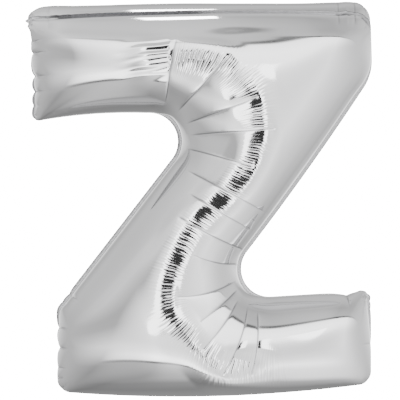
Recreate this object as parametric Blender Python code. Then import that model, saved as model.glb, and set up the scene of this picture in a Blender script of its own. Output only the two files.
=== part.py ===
"""Inflated foil balloon in the shape of the letter Z.

Metres, +Z up. The letter stands in the XZ plane and is read from -Y, with +X to the right.
The origin is the middle of the letter, on the plane of its seam.
Two foil panels are welded face to face along a narrow band. The filling neck hangs
behind the band's lowest stretch and folds back on a crease along X.
"""

import math

import bmesh
import bpy
import numpy as np
from mathutils import Matrix, Vector
from mathutils.geometry import delaunay_2d_cdt

# The letter's limbs, measured between the cut edges of the foil
TOP_EDGE = 0.4210  # height of the top bar's upper edge above the middle
BOTTOM_EDGE = -0.413  # height of the bottom bar's lower edge
TOP_BAR_LEFT = -0.359
TOP_BAR_RIGHT = 0.3654
TOP_BAR_END = 0.241  # height of the top bar's open end
TOP_END_DROP = 0.012  # the top edge falls by this towards its left end
SHOULDER = 0.155  # length of the upright edge above the diagonal's right side
SHOULDER_FLARE = 0.0064  # the shoulder stands further out than the corner above it
BOTTOM_BAR_LEFT = -0.3056
BOTTOM_BAR_RIGHT = 0.3686
BOTTOM_BAR_END = 0.203  # height of the bottom bar's open end
BOTTOM_END_RISE = 0.018  # the bottom edge rises by this towards its right end
FOOT = 0.182  # length of the upright edge below the diagonal's left side
NOTCH_LEFT_X = 0.0230  # where the left notch's two edges would meet
NOTCH_LEFT_Z = 0.1950
NOTCH_RIGHT_X = 0.0300  # where the right notch's two edges would meet
NOTCH_RIGHT_Z = -0.2130

# Corner radii of the cut edge, and how far its edges bow out between corners
TOP_LEFT_RADIUS = 0.009
TOP_RIGHT_RADIUS = 0.040
SHOULDER_RADIUS = 0.107
NOTCH_RIGHT_RADIUS = 0.059
NOTCH_LEFT_RADIUS = 0.060
BAR_END_RADIUS = 0.017
BOTTOM_RIGHT_RADIUS = 0.030
BOTTOM_LEFT_RADIUS = 0.034
FOOT_RADIUS = 0.032
TOP_BOW = 0.008
DIAGONAL_BOW = 0.004
BOTTOM_BOW = 0.015
TOP_END_BOW = 0.002
UNDERSIDE_HOLLOW = 0.006  # the top bar's lower edge sags inwards by this

# The inflated body
ROUNDNESS = 0.90  # depth of a limb over its width
CREST_LIMIT = 0.130  # the film can't stretch, so the fattest places level off under this
WALL = 0.0020  # stands in for the thin film
SEAM_LEAN = math.radians(35)  # how far the top seam rolls to the front
LEAN_AXIS_Z = 0.2996  # height of the top bar's middle line
LEAN_HALF_HEIGHT = 0.121  # half the top bar's height

# The welded band
FLANGE = 0.005  # foil outside the weld
BAND_THICKNESS = 0.0015
BAND_TUCK = 0.0045  # how far the band reaches in under the panels' rims
RIM_GAP = 0.0006  # between a panel's rim and the band
GAP = 0.0003  # between the neck's layers, and between the neck and the band

# The filling neck
NECK_X = -0.020
NECK_WIDTH = 0.036
NECK_LENGTH = 0.062
NECK_CORNER = 0.006
NECK_TILT = math.radians(3)  # how far the folded neck points up behind the letter
FILM = 0.0010  # each foil layer of the neck
SLEEVE_FILM = 0.0008
SLEEVE_WIDTH = 0.020
SLEEVE_OUT = 0.006  # the valve sleeve stands out of the neck's mouth
SLEEVE_START = 0.004  # distance from the crease to the sleeve's inner end

# How finely the curves are cut
EDGE_PITCH = 0.022
FIELD_PITCH = 0.030
RING_SHARES = (0.17, 0.53, 1.13)  # rows of points that follow the rim, in field pitches from it
FIELD_SHARE = 1.67  # the even field of points starts this many pitches from the rim
ARC_STEP = math.radians(20)


def letter_corners():
    """The ten corners of the Z, clockwise from the top left: x, z, radius, bow of the next edge."""
    top_left_z = TOP_EDGE - TOP_END_DROP
    bottom_right_z = BOTTOM_EDGE + BOTTOM_END_RISE
    return [
        (TOP_BAR_LEFT, top_left_z, TOP_LEFT_RADIUS, TOP_BOW),
        (TOP_BAR_RIGHT, TOP_EDGE, TOP_RIGHT_RADIUS, 0),
        (TOP_BAR_RIGHT + SHOULDER_FLARE, TOP_EDGE - SHOULDER, SHOULDER_RADIUS, DIAGONAL_BOW),
        (NOTCH_RIGHT_X, NOTCH_RIGHT_Z, NOTCH_RIGHT_RADIUS, 0),
        (BOTTOM_BAR_RIGHT, bottom_right_z + BOTTOM_BAR_END, BAR_END_RADIUS, 0),
        (BOTTOM_BAR_RIGHT, bottom_right_z, BOTTOM_RIGHT_RADIUS, BOTTOM_BOW),
        (BOTTOM_BAR_LEFT, BOTTOM_EDGE, BOTTOM_LEFT_RADIUS, 0),
        (BOTTOM_BAR_LEFT, BOTTOM_EDGE + FOOT, FOOT_RADIUS, 0),
        (NOTCH_LEFT_X, NOTCH_LEFT_Z, NOTCH_LEFT_RADIUS, -UNDERSIDE_HOLLOW),
        (TOP_BAR_LEFT, top_left_z - TOP_BAR_END, BAR_END_RADIUS, TOP_END_BOW),
    ]


def rounded(corners):
    """A closed line of points round the corners, each filleted, each edge bowed outwards."""
    points = []
    spots = [Vector(corner[:2]) for corner in corners]
    arcs = []
    for i, (_, _, radius, _) in enumerate(corners):
        to_last = (spots[i - 1] - spots[i]).normalized()
        to_next = (spots[(i + 1) % len(spots)] - spots[i]).normalized()
        half = to_last.angle(to_next) / 2
        reach = radius / math.tan(half)
        centre = spots[i] + (to_last + to_next).normalized() * radius / math.sin(half)
        start = spots[i] + to_last * reach - centre
        turn = start.angle_signed(spots[i] + to_next * reach - centre)
        steps = max(2, round(abs(turn) / ARC_STEP))
        arcs.append([centre + Matrix.Rotation(-turn * k / steps, 2) @ start for k in range(steps + 1)])
    for i, arc in enumerate(arcs):
        points += arc
        after = arcs[(i + 1) % len(arcs)][0]
        along = after - arc[-1]
        outward = Vector((-along.y, along.x)).normalized()
        steps = max(1, round(along.length / EDGE_PITCH))
        for k in range(1, steps):
            share = k / steps
            points.append(arc[-1] + along * share + outward * corners[i][3] * 4 * share * (1 - share))
    return np.array([tuple(point) for point in points])


def inset(loop, depth):
    """The closed line moved inwards by depth, point for point."""
    ahead = np.roll(loop, -1, axis=0) - loop
    behind = loop - np.roll(loop, 1, axis=0)
    ahead /= np.linalg.norm(ahead, axis=1, keepdims=True)
    behind /= np.linalg.norm(behind, axis=1, keepdims=True)
    inward = np.stack([(ahead + behind)[:, 1], -(ahead + behind)[:, 0]], axis=1)
    inward /= np.linalg.norm(inward, axis=1, keepdims=True)
    return loop + inward * depth


def distance_to(loop, points):
    """Each point's distance to the closed line."""
    start = loop[None]
    span = np.roll(loop, -1, axis=0)[None] - start
    away = points[:, None] - start
    share = np.clip((away * span).sum(2) / (span**2).sum(2), 0, 1)
    return np.linalg.norm(away - share[..., None] * span, axis=2).min(axis=1)


def inside(loop, points):
    """Whether each point lies inside the closed line."""
    ahead = np.roll(loop, -1, axis=0)
    low, high = loop[:, 1][None], ahead[:, 1][None]
    level = points[:, 1][:, None]
    spans = (low <= level) != (high <= level)
    share = (level - low) / np.where(high == low, 1, high - low)
    cross = loop[:, 0][None] + share * (ahead[:, 0] - loop[:, 0])[None]
    return (spans & (cross > points[:, 0][:, None])).sum(axis=1) % 2 == 1


def flat_panel(rim):
    """The panel's pattern: points inside the rim and the triangles between them, rim points first."""
    points = [rim]
    for share in RING_SHARES:
        depth = share * FIELD_PITCH
        row = inset(rim, depth)
        points.append(row[inside(rim, row) & (distance_to(rim, row) > 0.97 * depth)])
    low, high = rim.min(axis=0), rim.max(axis=0)
    rows = []
    row_pitch = FIELD_PITCH * math.sqrt(3) / 2
    for i in range(int((high[1] - low[1]) / row_pitch) + 1):
        xs = np.arange(low[0] + FIELD_PITCH / 2 * (i % 2), high[0], FIELD_PITCH)
        rows.append(np.stack([xs, np.full(len(xs), low[1] + i * row_pitch)], axis=1))
    field = np.concatenate(rows)
    points.append(field[inside(rim, field) & (distance_to(rim, field) > FIELD_SHARE * FIELD_PITCH)])
    every = [Vector(point) for point in np.concatenate(points)]
    border = [(i, (i + 1) % len(rim)) for i in range(len(rim))]
    spots, _, faces, *_ = delaunay_2d_cdt(every, border, [], 1, 1e-6)
    return np.array([tuple(spot) for spot in spots]), np.array(faces)


def inflated_height(points, faces, rim_count):
    """How far gas pressure lifts the panel at each point.

    A pressed membrane is solved on the pattern's triangles. The square root of its
    deflection is a half circle across a straight limb and a fuller dome where limbs meet.
    """
    corners = points[faces]
    sides = np.roll(corners, -1, axis=1) - np.roll(corners, 1, axis=1)
    area = np.abs(sides[:, 0, 0] * sides[:, 1, 1] - sides[:, 0, 1] * sides[:, 1, 0]) / 2
    first = faces[:, [0, 1, 2]].ravel()
    second = faces[:, [1, 2, 0]].ravel()
    weight = (sides * np.roll(sides, -1, axis=1)).sum(axis=2) / (4 * area[:, None])
    weight = weight.ravel()
    load = np.bincount(faces.ravel(), np.repeat(area / 3, 3), len(points))
    free = np.arange(len(points)) >= rim_count

    def pull(height):
        step = weight * (height[second] - height[first])
        forces = np.bincount(first, step, len(points)) - np.bincount(second, step, len(points))
        return forces * free

    height = np.zeros(len(points))
    rest = load * free
    search = rest.copy()
    energy = rest @ rest
    for _ in range(4 * len(points)):
        change = pull(search)
        reach = energy / (search @ change)
        height += reach * search
        rest = rest - reach * change
        new_energy = rest @ rest
        if new_energy < 1e-20 * len(points):
            break
        search = rest + search * new_energy / energy
        energy = new_energy
    free_height = ROUNDNESS * np.sqrt(2 * np.maximum(height, 0))
    return free_height / (1 + (free_height / CREST_LIMIT) ** 4) ** 0.25


def lean(points):
    """Rolls the seam along the top bar to the front, round the bar's middle line."""
    moved = points.copy()
    up = (points[:, 2] - LEAN_AXIS_Z) / LEAN_HALF_HEIGHT
    front = -points[:, 1] / (LEAN_HALF_HEIGHT * ROUNDNESS)
    radius = np.hypot(up, front)
    angle = np.arctan2(up, front)
    depth = np.clip(radius, 0, 1)
    turned = angle - SEAM_LEAN * depth**2 * (3 - 2 * depth) * np.sin(angle) ** 2
    moved[:, 1] = -np.cos(turned) * radius * LEAN_HALF_HEIGHT * ROUNDNESS
    moved[:, 2] = LEAN_AXIS_Z + np.sin(turned) * radius * LEAN_HALF_HEIGHT
    return np.where(up[:, None] > 0, moved, points)


def material(name, colour, roughness, metallic):
    made = bpy.data.materials.new(name)
    made.use_nodes = True
    shader = made.node_tree.nodes["Principled BSDF"]
    shader.inputs["Base Color"].default_value = (*colour, 1)
    shader.inputs["Roughness"].default_value = roughness
    shader.inputs["Metallic"].default_value = metallic
    return made


def add_object(name, mesh, finish):
    made = bpy.data.objects.new(name, mesh)
    bpy.context.scene.collection.objects.link(made)
    mesh.materials.append(finish)
    mesh.shade_smooth()
    mesh.set_sharp_from_angle(angle=math.radians(40))
    return made


def add_panel(name, side, points, faces, height, rim_count, finish):
    """One inflated panel, as an open bowl of even wall. side is -1 in front, 1 behind."""
    outer = np.stack([points[:, 0], side * (BAND_THICKNESS / 2 + RIM_GAP + height), points[:, 1]], axis=1)
    corners = outer[faces]
    across = np.cross(corners[:, 1] - corners[:, 0], corners[:, 2] - corners[:, 0])
    normals = np.zeros_like(outer)
    for column in range(3):
        np.add.at(normals, faces[:, column], -side * across)
    rim = points[:rim_count]
    outward = rim - inset(rim, 1)
    normals[:rim_count] = np.stack([outward[:, 0], np.zeros(rim_count), outward[:, 1]], axis=1)
    normals /= np.linalg.norm(normals, axis=1, keepdims=True)
    inner = outer - WALL * normals
    count = len(outer)
    here = np.arange(rim_count)
    after = np.roll(here, -1)
    edge = np.stack([after, here, here + count, after + count], axis=1)
    inside = faces[:, ::-1] + count
    shell = [list(face) for part in (faces, inside, edge) for face in part]
    if side > 0:
        shell = [face[::-1] for face in shell]
    mesh = bpy.data.meshes.new(name)
    mesh.from_pydata(lean(np.concatenate([outer, inner])).tolist(), [], shell)
    work = bmesh.new()
    work.from_mesh(mesh)
    bmesh.ops.recalc_face_normals(work, faces=work.faces)
    work.to_mesh(mesh)
    work.free()
    return add_object(name, mesh, finish)


def add_seam_band(cut_edge, finish):
    """The flat welded band that runs right round the letter between the two panels."""
    inner = inset(cut_edge, FLANGE + BAND_TUCK)
    loops = []
    for loop, side in ((cut_edge, -1), (cut_edge, 1), (inner, 1), (inner, -1)):
        level = np.full(len(loop), side * BAND_THICKNESS / 2)
        loops.append(np.stack([loop[:, 0], level, loop[:, 1]], axis=1))
    mesh = bpy.data.meshes.new("seam_band")
    count = len(cut_edge)
    faces = []
    for row in range(4):
        for i in range(count):
            nxt = (i + 1) % count
            other = (row + 1) % 4
            faces.append([row * count + i, row * count + nxt, other * count + nxt, other * count + i])
    mesh.from_pydata(lean(np.concatenate(loops)).tolist(), [], faces)
    work = bmesh.new()
    work.from_mesh(mesh)
    bmesh.ops.recalc_face_normals(work, faces=work.faces)
    work.to_mesh(mesh)
    work.free()
    return add_object("seam_band", mesh, finish)


def add_neck_layer(name, carrier, start, length, width, corner, low, thickness, finish):
    """A flat layer of the neck, in the carrier's frame: length along Y, width along X."""
    half = width / 2
    end = start + length
    outline = [(-half, start), (half, start)]
    for sign in (1, -1):
        arc = [math.radians(angle) for angle in (0, 30, 60, 90)]
        for turn in arc if sign > 0 else reversed(arc):
            across = sign * (half - corner + corner * math.cos(turn))
            outline.append((across, end - corner + corner * math.sin(turn)))
    work = bmesh.new()
    face = work.faces.new([work.verts.new((x, y, low)) for x, y in outline])
    raised = bmesh.ops.extrude_face_region(work, geom=[face])
    moved = [item for item in raised["geom"] if isinstance(item, bmesh.types.BMVert)]
    bmesh.ops.translate(work, verts=moved, vec=(0, 0, thickness))
    bmesh.ops.recalc_face_normals(work, faces=work.faces)
    mesh = bpy.data.meshes.new(name)
    work.to_mesh(mesh)
    work.free()
    made = add_object(name, mesh, finish)
    made.parent = carrier
    return made


def add_neck(cut_edge, foil, clear_film):
    """The filling neck: a valve sleeve between two foil layers, folded back on its crease."""
    near = np.abs(cut_edge[:, 0] - NECK_X) < NECK_WIDTH / 2 + EDGE_PITCH
    lowest = cut_edge[near & (cut_edge[:, 1] < 0), 1].min()
    stack = 2 * FILM + SLEEVE_FILM + 2 * GAP
    crease = bpy.data.objects.new("neck_crease", None)
    bpy.context.scene.collection.objects.link(crease)
    crease.location = (NECK_X, BAND_THICKNESS / 2 + 2 * GAP + stack / 2, lowest + stack / 2)
    crease.rotation_euler = (NECK_TILT, 0, 0)
    bottom = -stack / 2
    layers = (
        ("neck_front_film", 0, NECK_LENGTH, NECK_WIDTH, NECK_CORNER, bottom, FILM, foil),
        (
            "valve_sleeve",
            SLEEVE_START,
            NECK_LENGTH + SLEEVE_OUT - SLEEVE_START,
            SLEEVE_WIDTH,
            NECK_CORNER / 3,
            bottom + FILM + GAP,
            SLEEVE_FILM,
            clear_film,
        ),
        ("neck_back_film", 0, NECK_LENGTH, NECK_WIDTH, NECK_CORNER, -bottom - FILM, FILM, foil),
    )
    for name, start, length, width, corner, low, thickness, finish in layers:
        add_neck_layer(name, crease, start, length, width, corner, low, thickness, finish)


def main():
    for leftover in list(bpy.data.objects):
        bpy.data.objects.remove(leftover)
    front_foil = material("front_foil", (0.80, 0.80, 0.81), 0.12, 1)
    back_foil = material("back_foil", (0.78, 0.78, 0.79), 0.14, 1)
    band_foil = material("band_foil", (0.72, 0.72, 0.74), 0.25, 1)
    neck_foil = material("neck_foil", (0.76, 0.76, 0.78), 0.20, 1)
    clear_film = material("clear_film", (0.86, 0.88, 0.90), 0.25, 0)
    cut_edge = rounded(letter_corners())
    rim = inset(cut_edge, FLANGE)
    points, faces = flat_panel(rim)
    height = inflated_height(points, faces, len(rim))
    add_panel("front_foil_panel", -1, points, faces, height, len(rim), front_foil)
    add_panel("back_foil_panel", 1, points, faces, height, len(rim), back_foil)
    add_seam_band(cut_edge, band_foil)
    add_neck(cut_edge, neck_foil, clear_film)


main()
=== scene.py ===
# %% [markdown]
# # A foil balloon letter, dressed for a picture
#
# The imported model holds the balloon's pieces at their real size: two panels of metallised film, the
# welded band between them and the folded filling neck. This lesson gives those pieces their looks.
# Film that is blown up hard is a mirror, so nearly all that the eye sees is how its surface bends. The
# work therefore goes into a fine mesh, its pleats and ripples, and into what stands around the balloon.

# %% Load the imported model
import math

import bpy
import numpy as np
from mathutils import Matrix, Vector
from mathutils.geometry import delaunay_2d_cdt


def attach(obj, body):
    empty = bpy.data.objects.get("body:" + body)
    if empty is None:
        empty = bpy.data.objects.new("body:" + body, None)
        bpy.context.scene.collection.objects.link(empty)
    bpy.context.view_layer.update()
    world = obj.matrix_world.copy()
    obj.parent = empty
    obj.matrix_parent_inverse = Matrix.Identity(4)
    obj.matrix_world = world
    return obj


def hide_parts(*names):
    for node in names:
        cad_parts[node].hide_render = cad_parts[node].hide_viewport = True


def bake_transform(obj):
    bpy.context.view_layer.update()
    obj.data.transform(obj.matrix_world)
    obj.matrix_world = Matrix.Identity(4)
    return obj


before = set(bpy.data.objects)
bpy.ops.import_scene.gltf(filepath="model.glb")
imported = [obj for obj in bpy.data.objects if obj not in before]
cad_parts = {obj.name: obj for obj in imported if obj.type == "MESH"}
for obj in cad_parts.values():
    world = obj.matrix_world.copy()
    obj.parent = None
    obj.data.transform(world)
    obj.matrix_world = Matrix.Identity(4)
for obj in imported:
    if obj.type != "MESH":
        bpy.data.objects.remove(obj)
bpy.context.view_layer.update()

print("pieces of the packed model:", sorted(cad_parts))

# %% [markdown]
# ## The camera
#
# The letter is seen square from the front. A product picture is taken from far away with a long lens,
# so that the sides of the letter don't splay. The lens is worked out from the width that the picture
# has to hold at the letter.

# %% Camera
FRAME_WIDTH = 0.8548  # metres of the letter's plane that the picture shows
FRAME_CENTRE_X = 0.0021
FRAME_CENTRE_Z = 0.0004
CAMERA_DISTANCE = 6.0
SENSOR_MM = 36.0


def placed(name, data):
    """A new object of the scene."""
    made = bpy.data.objects.new(name, data)
    bpy.context.scene.collection.objects.link(made)
    return made


lens = bpy.data.cameras.new("picture_camera")
lens.sensor_width = SENSOR_MM
lens.lens = SENSOR_MM * CAMERA_DISTANCE / FRAME_WIDTH
camera = placed("picture_camera", lens)
camera.location = (FRAME_CENTRE_X, -CAMERA_DISTANCE, FRAME_CENTRE_Z)
camera.rotation_euler = (math.radians(90), 0, 0)
bpy.context.scene.camera = camera
print("lens of", round(lens.lens), "mm")

# %% [markdown]
# ## Node trees from expressions
#
# A finish is a small program made of nodes. Wiring them by hand is slow to read, so one class wraps
# an output socket and lets Python's own operators add the Math nodes. Numbers that don't come from a
# socket are worked out in Python.


# %% A socket that can be reckoned with
class Wire:
    """An output socket in a node tree. Arithmetic on it adds Math nodes."""

    def __init__(self, finish, socket):
        self.finish = finish
        self.socket = socket

    def math(self, operation, first, second=0.0):
        made = self.finish.node("Math", {"operation": operation}, {0: first, 1: second})
        return Wire(self.finish, made.outputs[0])

    def sine(self):
        return self.math("SINE", self)

    def size(self):
        """The value without its sign."""
        return self.math("ABSOLUTE", self)

    def at_least(self, other):
        return self.math("MAXIMUM", self, other)

    def turned_from(self, other):
        """The angle of a slope that rises by this value over a length of the other."""
        return self.math("ARCTAN2", self, other)

    def __add__(self, other):
        return self.math("ADD", self, other)

    def __radd__(self, other):
        return self.math("ADD", other, self)

    def __sub__(self, other):
        return self.math("SUBTRACT", self, other)

    def __rsub__(self, other):
        return self.math("SUBTRACT", other, self)

    def __mul__(self, other):
        return self.math("MULTIPLY", self, other)

    def __rmul__(self, other):
        return self.math("MULTIPLY", other, self)

    def __truediv__(self, other):
        return self.math("DIVIDE", self, other)

    def __neg__(self):
        return self.math("MULTIPLY", self, -1.0)


print("sockets can be added, multiplied and compared")

# %% [markdown]
# ## One method for every other node
#
# Every other kind of node comes from one method. It takes the node's type, its settings, and the values
# or links of its sockets. The short methods after it name what this balloon's finishes use often.


# %% A finish and its nodes
class Finish:
    """The node tree of a material or of the surroundings."""

    def __init__(self, owner):
        owner.use_nodes = True
        self.tree = owner.node_tree
        self.tree.nodes.clear()

    def node(self, kind, settings=None, sockets=None):
        made = self.tree.nodes.new("ShaderNode" + kind)
        for name, value in (settings or {}).items():
            if name == "stops":
                self.set_stops(made.color_ramp, value)
            else:
                setattr(made, name, value)
        for name, value in (sockets or {}).items():
            if isinstance(value, Wire):
                self.tree.links.new(value.socket, made.inputs[name])
            else:
                made.inputs[name].default_value = value
        return made

    def wire(self, kind, settings=None, sockets=None, output=0):
        return Wire(self, self.node(kind, settings, sockets).outputs[output])

    def number(self, label):
        """A number that the mesh holds at each of its points."""
        return self.wire("Attribute", {"attribute_name": label}, output="Fac")

    def noise(self, place, scale, detail):
        return self.wire("TexNoise", {}, {"Vector": place, "Scale": scale, "Detail": detail})

    def mix(self, share, low, high):
        """A colour between low and high."""
        return self.wire("Mix", {"data_type": "RGBA"}, {0: share, 6: (*low, 1), 7: (*high, 1)}, 2)

    def place(self):
        """Where on the object a ray lands."""
        return self.wire("TexCoord", output="Object")

    def bump(self, height, strength, distance):
        """The relief of a height."""
        sockets = {"Strength": strength, "Distance": distance, "Height": height}
        return self.wire("Bump", {}, sockets, "Normal")

    def metal(self, colour, roughness, relief):
        """A finish that ends in bare metal."""
        sockets = {"Base Color": colour, "Metallic": 1.0, "Roughness": roughness, "Normal": relief}
        self.surface("BsdfPrincipled", sockets)

    def surface(self, kind, sockets):
        """The shader that the finish ends in."""
        self.node("OutputMaterial", {}, {"Surface": self.wire(kind, {}, sockets)})

    @staticmethod
    def set_stops(ramp, stops):
        while len(ramp.elements) < len(stops):
            ramp.elements.new(0.5)
        for element, (place, tone) in zip(ramp.elements, stops):
            element.position = place
            element.color = (tone, tone, tone, 1)


def new_finish(name):
    """A new material and its empty node tree."""
    made = bpy.data.materials.new(name)
    return made, Finish(made)


print("node tools ready")

# %% [markdown]
# ## What the mirror sees
#
# The balloon hangs in a tent of white cloth: a bright wall in front, a greyer roof, and a table below
# that darkens towards the letter. Where wall meets roof, and wall meets table, a thin dark line shows
# as a line on the film. All of it could be modelled as walls, but they would stand in the way of the
# camera. Here the surroundings are worked out from the direction a ray leaves in, and a ray that comes
# straight from the camera sees plain white.

# %% Surroundings
TENT_PEAK = 5.0  # the brightest tone a stop can hold
CAMERA_WHITE = 20.0  # plain white in the finished picture
LEFT_TONES = (  # degrees above the front, radiance
    (-180, 1.60), (-166, 1.20), (-156, 0.45), (-120, 0.40), (-90, 0.40), (-60, 0.38),
    (-50, 0.44), (-41, 0.80), (-32, 1.30), (-23, 1.65), (-12, 1.10), (-3, 0.62),
    (6, 0.60), (14, 0.90), (24, 1.40), (38, 1.50), (48, 1.30), (80, 1.20),
    (125, 1.05), (152, 0.60), (166, 1.40), (180, 1.60),
)
FRONT_LEFT_TONES = (
    (-180, 3.00), (-167, 2.40), (-157, 0.40), (-112, 0.22), (-93, 0.25), (-75, 0.45),
    (-58, 0.72), (-47, 0.85), (-46, 0.12), (-43, 0.12), (-41, 3.60), (-33, 4.20),
    (-25, 2.80), (-15, 2.10), (0, 2.40), (15, 2.80), (30, 3.20), (40, 2.60),
    (42, 0.75), (44, 0.75), (47, 1.15), (67, 1.00), (79, 0.85), (95, 0.95),
    (120, 0.80), (157, 0.50), (167, 2.40), (180, 3.00),
)
FRONT_RIGHT_TONES = (
    (-180, 3.00), (-167, 2.40), (-157, 0.30), (-118, 0.30), (-96, 0.65), (-82, 1.80),
    (-57, 2.20), (-45, 3.20), (-32, 1.95), (-19, 1.45), (-6, 1.45), (5, 1.90),
    (15, 3.10), (26, 3.30), (39, 2.80), (40, 2.20), (41, 0.10), (45, 0.10),
    (47, 0.78), (62, 0.68), (77, 0.55), (97, 0.75), (123, 0.85), (157, 0.50),
    (167, 2.40), (180, 3.00),
)
RIGHT_TONES = (
    (-180, 1.60), (-166, 1.20), (-143, 0.60), (-110, 0.70), (-80, 1.30), (-46, 1.80),
    (-20, 2.00), (-9, 2.00), (0, 2.10), (12, 2.60), (22, 3.00), (39, 2.80),
    (40, 2.20), (41, 0.15), (44, 0.15), (46, 0.75), (70, 0.65), (100, 0.70),
    (125, 0.80), (152, 0.60), (166, 1.40), (180, 1.60),
)
LEFT_END = 0.70  # tone square to the left
RIGHT_END = 1.05
PLACES = (-0.48, -0.20, 0.20, 0.65)  # sideways share of a ray that each row of tones stands for

surroundings = bpy.data.worlds.new("white_tent")
bpy.context.scene.world = surroundings
tent = Finish(surroundings)
direction = tent.wire("TexCoord", output="Generated")
parts = tent.node("SeparateXYZ", {}, {0: direction})
right, away, up = (Wire(tent, socket) for socket in parts.outputs)
rise = up.turned_from(-away) * (180 / math.pi)


def wall(rows):
    """The tone of a row of stops at a ray's rise."""
    stops = [((angle + 180) / 360, tone / TENT_PEAK) for angle, tone in rows]
    return tent.wire("ValToRGB", {"stops": stops}, {0: (rise + 180) / 360}) * TENT_PEAK


tone = LEFT_END
before = -1.0
columns = [wall(rows) for rows in (LEFT_TONES, FRONT_LEFT_TONES, FRONT_RIGHT_TONES, RIGHT_TONES)]
for place, column in zip((*PLACES, 1.0), (*columns, RIGHT_END)):
    share = tent.wire("MapRange", {}, {"Value": right, "From Min": before, "From Max": place})
    tone = tone + (column - tone) * share
    before = place
seen = tent.wire("Background", {}, {"Color": (1, 1, 1, 1), "Strength": CAMERA_WHITE})
mirrored = tent.wire("Background", {}, {"Color": (1, 1, 1, 1), "Strength": tone})
straight = tent.wire("LightPath", output="Is Camera Ray")
either = tent.wire("MixShader", {}, {0: straight, 1: mirrored, 2: seen})
tent.node("OutputWorld", {}, {"Surface": either})
print("tent of", len(columns), "columns of tones from table to roof")

# %% [markdown]
# ## Floor, dark slit and lamp
#
# A pale floor lies under the balloon. The tent has a slit in front for the camera, and the dark room
# behind it shows as a dark line along the crest of every limb, with the slit's bright flaps as two light
# lines beside it. A strip lamp overhead gives the long highlight under the top seam. The slit, its flaps
# and the lamp are plates that no camera ray can see.

# %% Stage
FLOOR_MIDDLE = (0, -0.1, -0.52)
FLOOR_HALF = (1.6, 1.2)
SLIT_MIDDLE = (0, -5.0, 0.24)
SLIT_HALF = (0.72, 1.26)
SLIT_GLOW = 0.035  # of the dark room behind it
FLAP_HALF_WIDTH = 0.25
FLAP_GLOW = 4.5
LAMP_MIDDLE = (-0.12, -0.21, 1.1)
LAMP_HALF = (0.11, 0.10)
LAMP_GLOW = 14.0


def plate(name, middle, half_sides, finish, standing=False):
    """A flat plate round its middle, lying or standing, from half its sides."""
    across = Vector((half_sides[0], 0, 0))
    upward = Vector((0, 0, half_sides[1]) if standing else (0, half_sides[1], 0))
    corners = [Vector(middle) + a * across + b * upward for a, b in ((-1, -1), (1, -1), (1, 1), (-1, 1))]
    mesh = bpy.data.meshes.new(name)
    mesh.from_pydata(corners, [], [(0, 1, 2, 3)])
    mesh.materials.append(finish)
    made = placed(name, mesh)
    return made


def glow(name, strength):
    """A plain white light."""
    made, finish = new_finish(name)
    finish.surface("Emission", {"Color": (1, 1, 1, 1), "Strength": strength})
    return made


def pale_floor():
    """Matt floor paint with faint speckles."""
    made, finish = new_finish("pale_floor")
    speckle = finish.wire("TexNoise", {}, {"Scale": 40.0, "Detail": 4.0})
    chalk = finish.mix(speckle * 0.3, (0.74, 0.74, 0.73), (0.80, 0.80, 0.79))
    finish.surface("BsdfPrincipled", {"Base Color": chalk, "Roughness": 0.9})
    return made


floor = plate("floor", FLOOR_MIDDLE, FLOOR_HALF, pale_floor())
floor.visible_glossy = False
unseen = [
    plate("tent_slit", SLIT_MIDDLE, SLIT_HALF, glow("dark_room", SLIT_GLOW), standing=True),
    plate("strip_lamp", LAMP_MIDDLE, LAMP_HALF, glow("lamp_glow", LAMP_GLOW)),
]
flap_glow = glow("flap_glow", FLAP_GLOW)
for side in (-1, 1):
    flap_middle = (side * (SLIT_HALF[0] + FLAP_HALF_WIDTH), *SLIT_MIDDLE[1:])
    unseen.append(plate("tent_flap", flap_middle, (FLAP_HALF_WIDTH, SLIT_HALF[1]), flap_glow, standing=True))
for lit in unseen:
    lit.visible_camera = False
    lit.visible_shadow = False
print("floor at", FLOOR_MIDDLE[2], "m, slit", 2 * SLIT_HALF[0], "m wide")

# %% [markdown]
# ## Measuring along lines
#
# Pleats, the ridge and the weld are all lines on a flat pattern, and nearly every form on the film is
# told by how far a point lies from one of them, and how far along it. A tree search could find the
# nearest place too. Tiles are simpler: each holds a few hundred points and the part of the line near
# them.

# %% Line tools
TILE = 0.05  # points are taken in tiles of this size
TILE_ROW = 1000  # more tiles than fit in one row
GROUP = 3000  # points that are tested at once
FAR = 9.0  # further than any point is from a line


def pointing(degrees):
    """The unit step in a heading."""
    return np.array([math.cos(math.radians(degrees)), math.sin(math.radians(degrees))])


def unit(rows):
    """Each row scaled to a length of 1."""
    return rows / np.linalg.norm(rows, axis=1, keepdims=True)


def left_of(headings):
    """Each heading turned a quarter to its left."""
    return np.stack([-headings[:, 1], headings[:, 0]], axis=1)


def places_along(path):
    """How far along the line each of its points lies."""
    return np.concatenate([[0], np.cumsum(np.linalg.norm(np.diff(path, axis=0), axis=1))])


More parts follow.
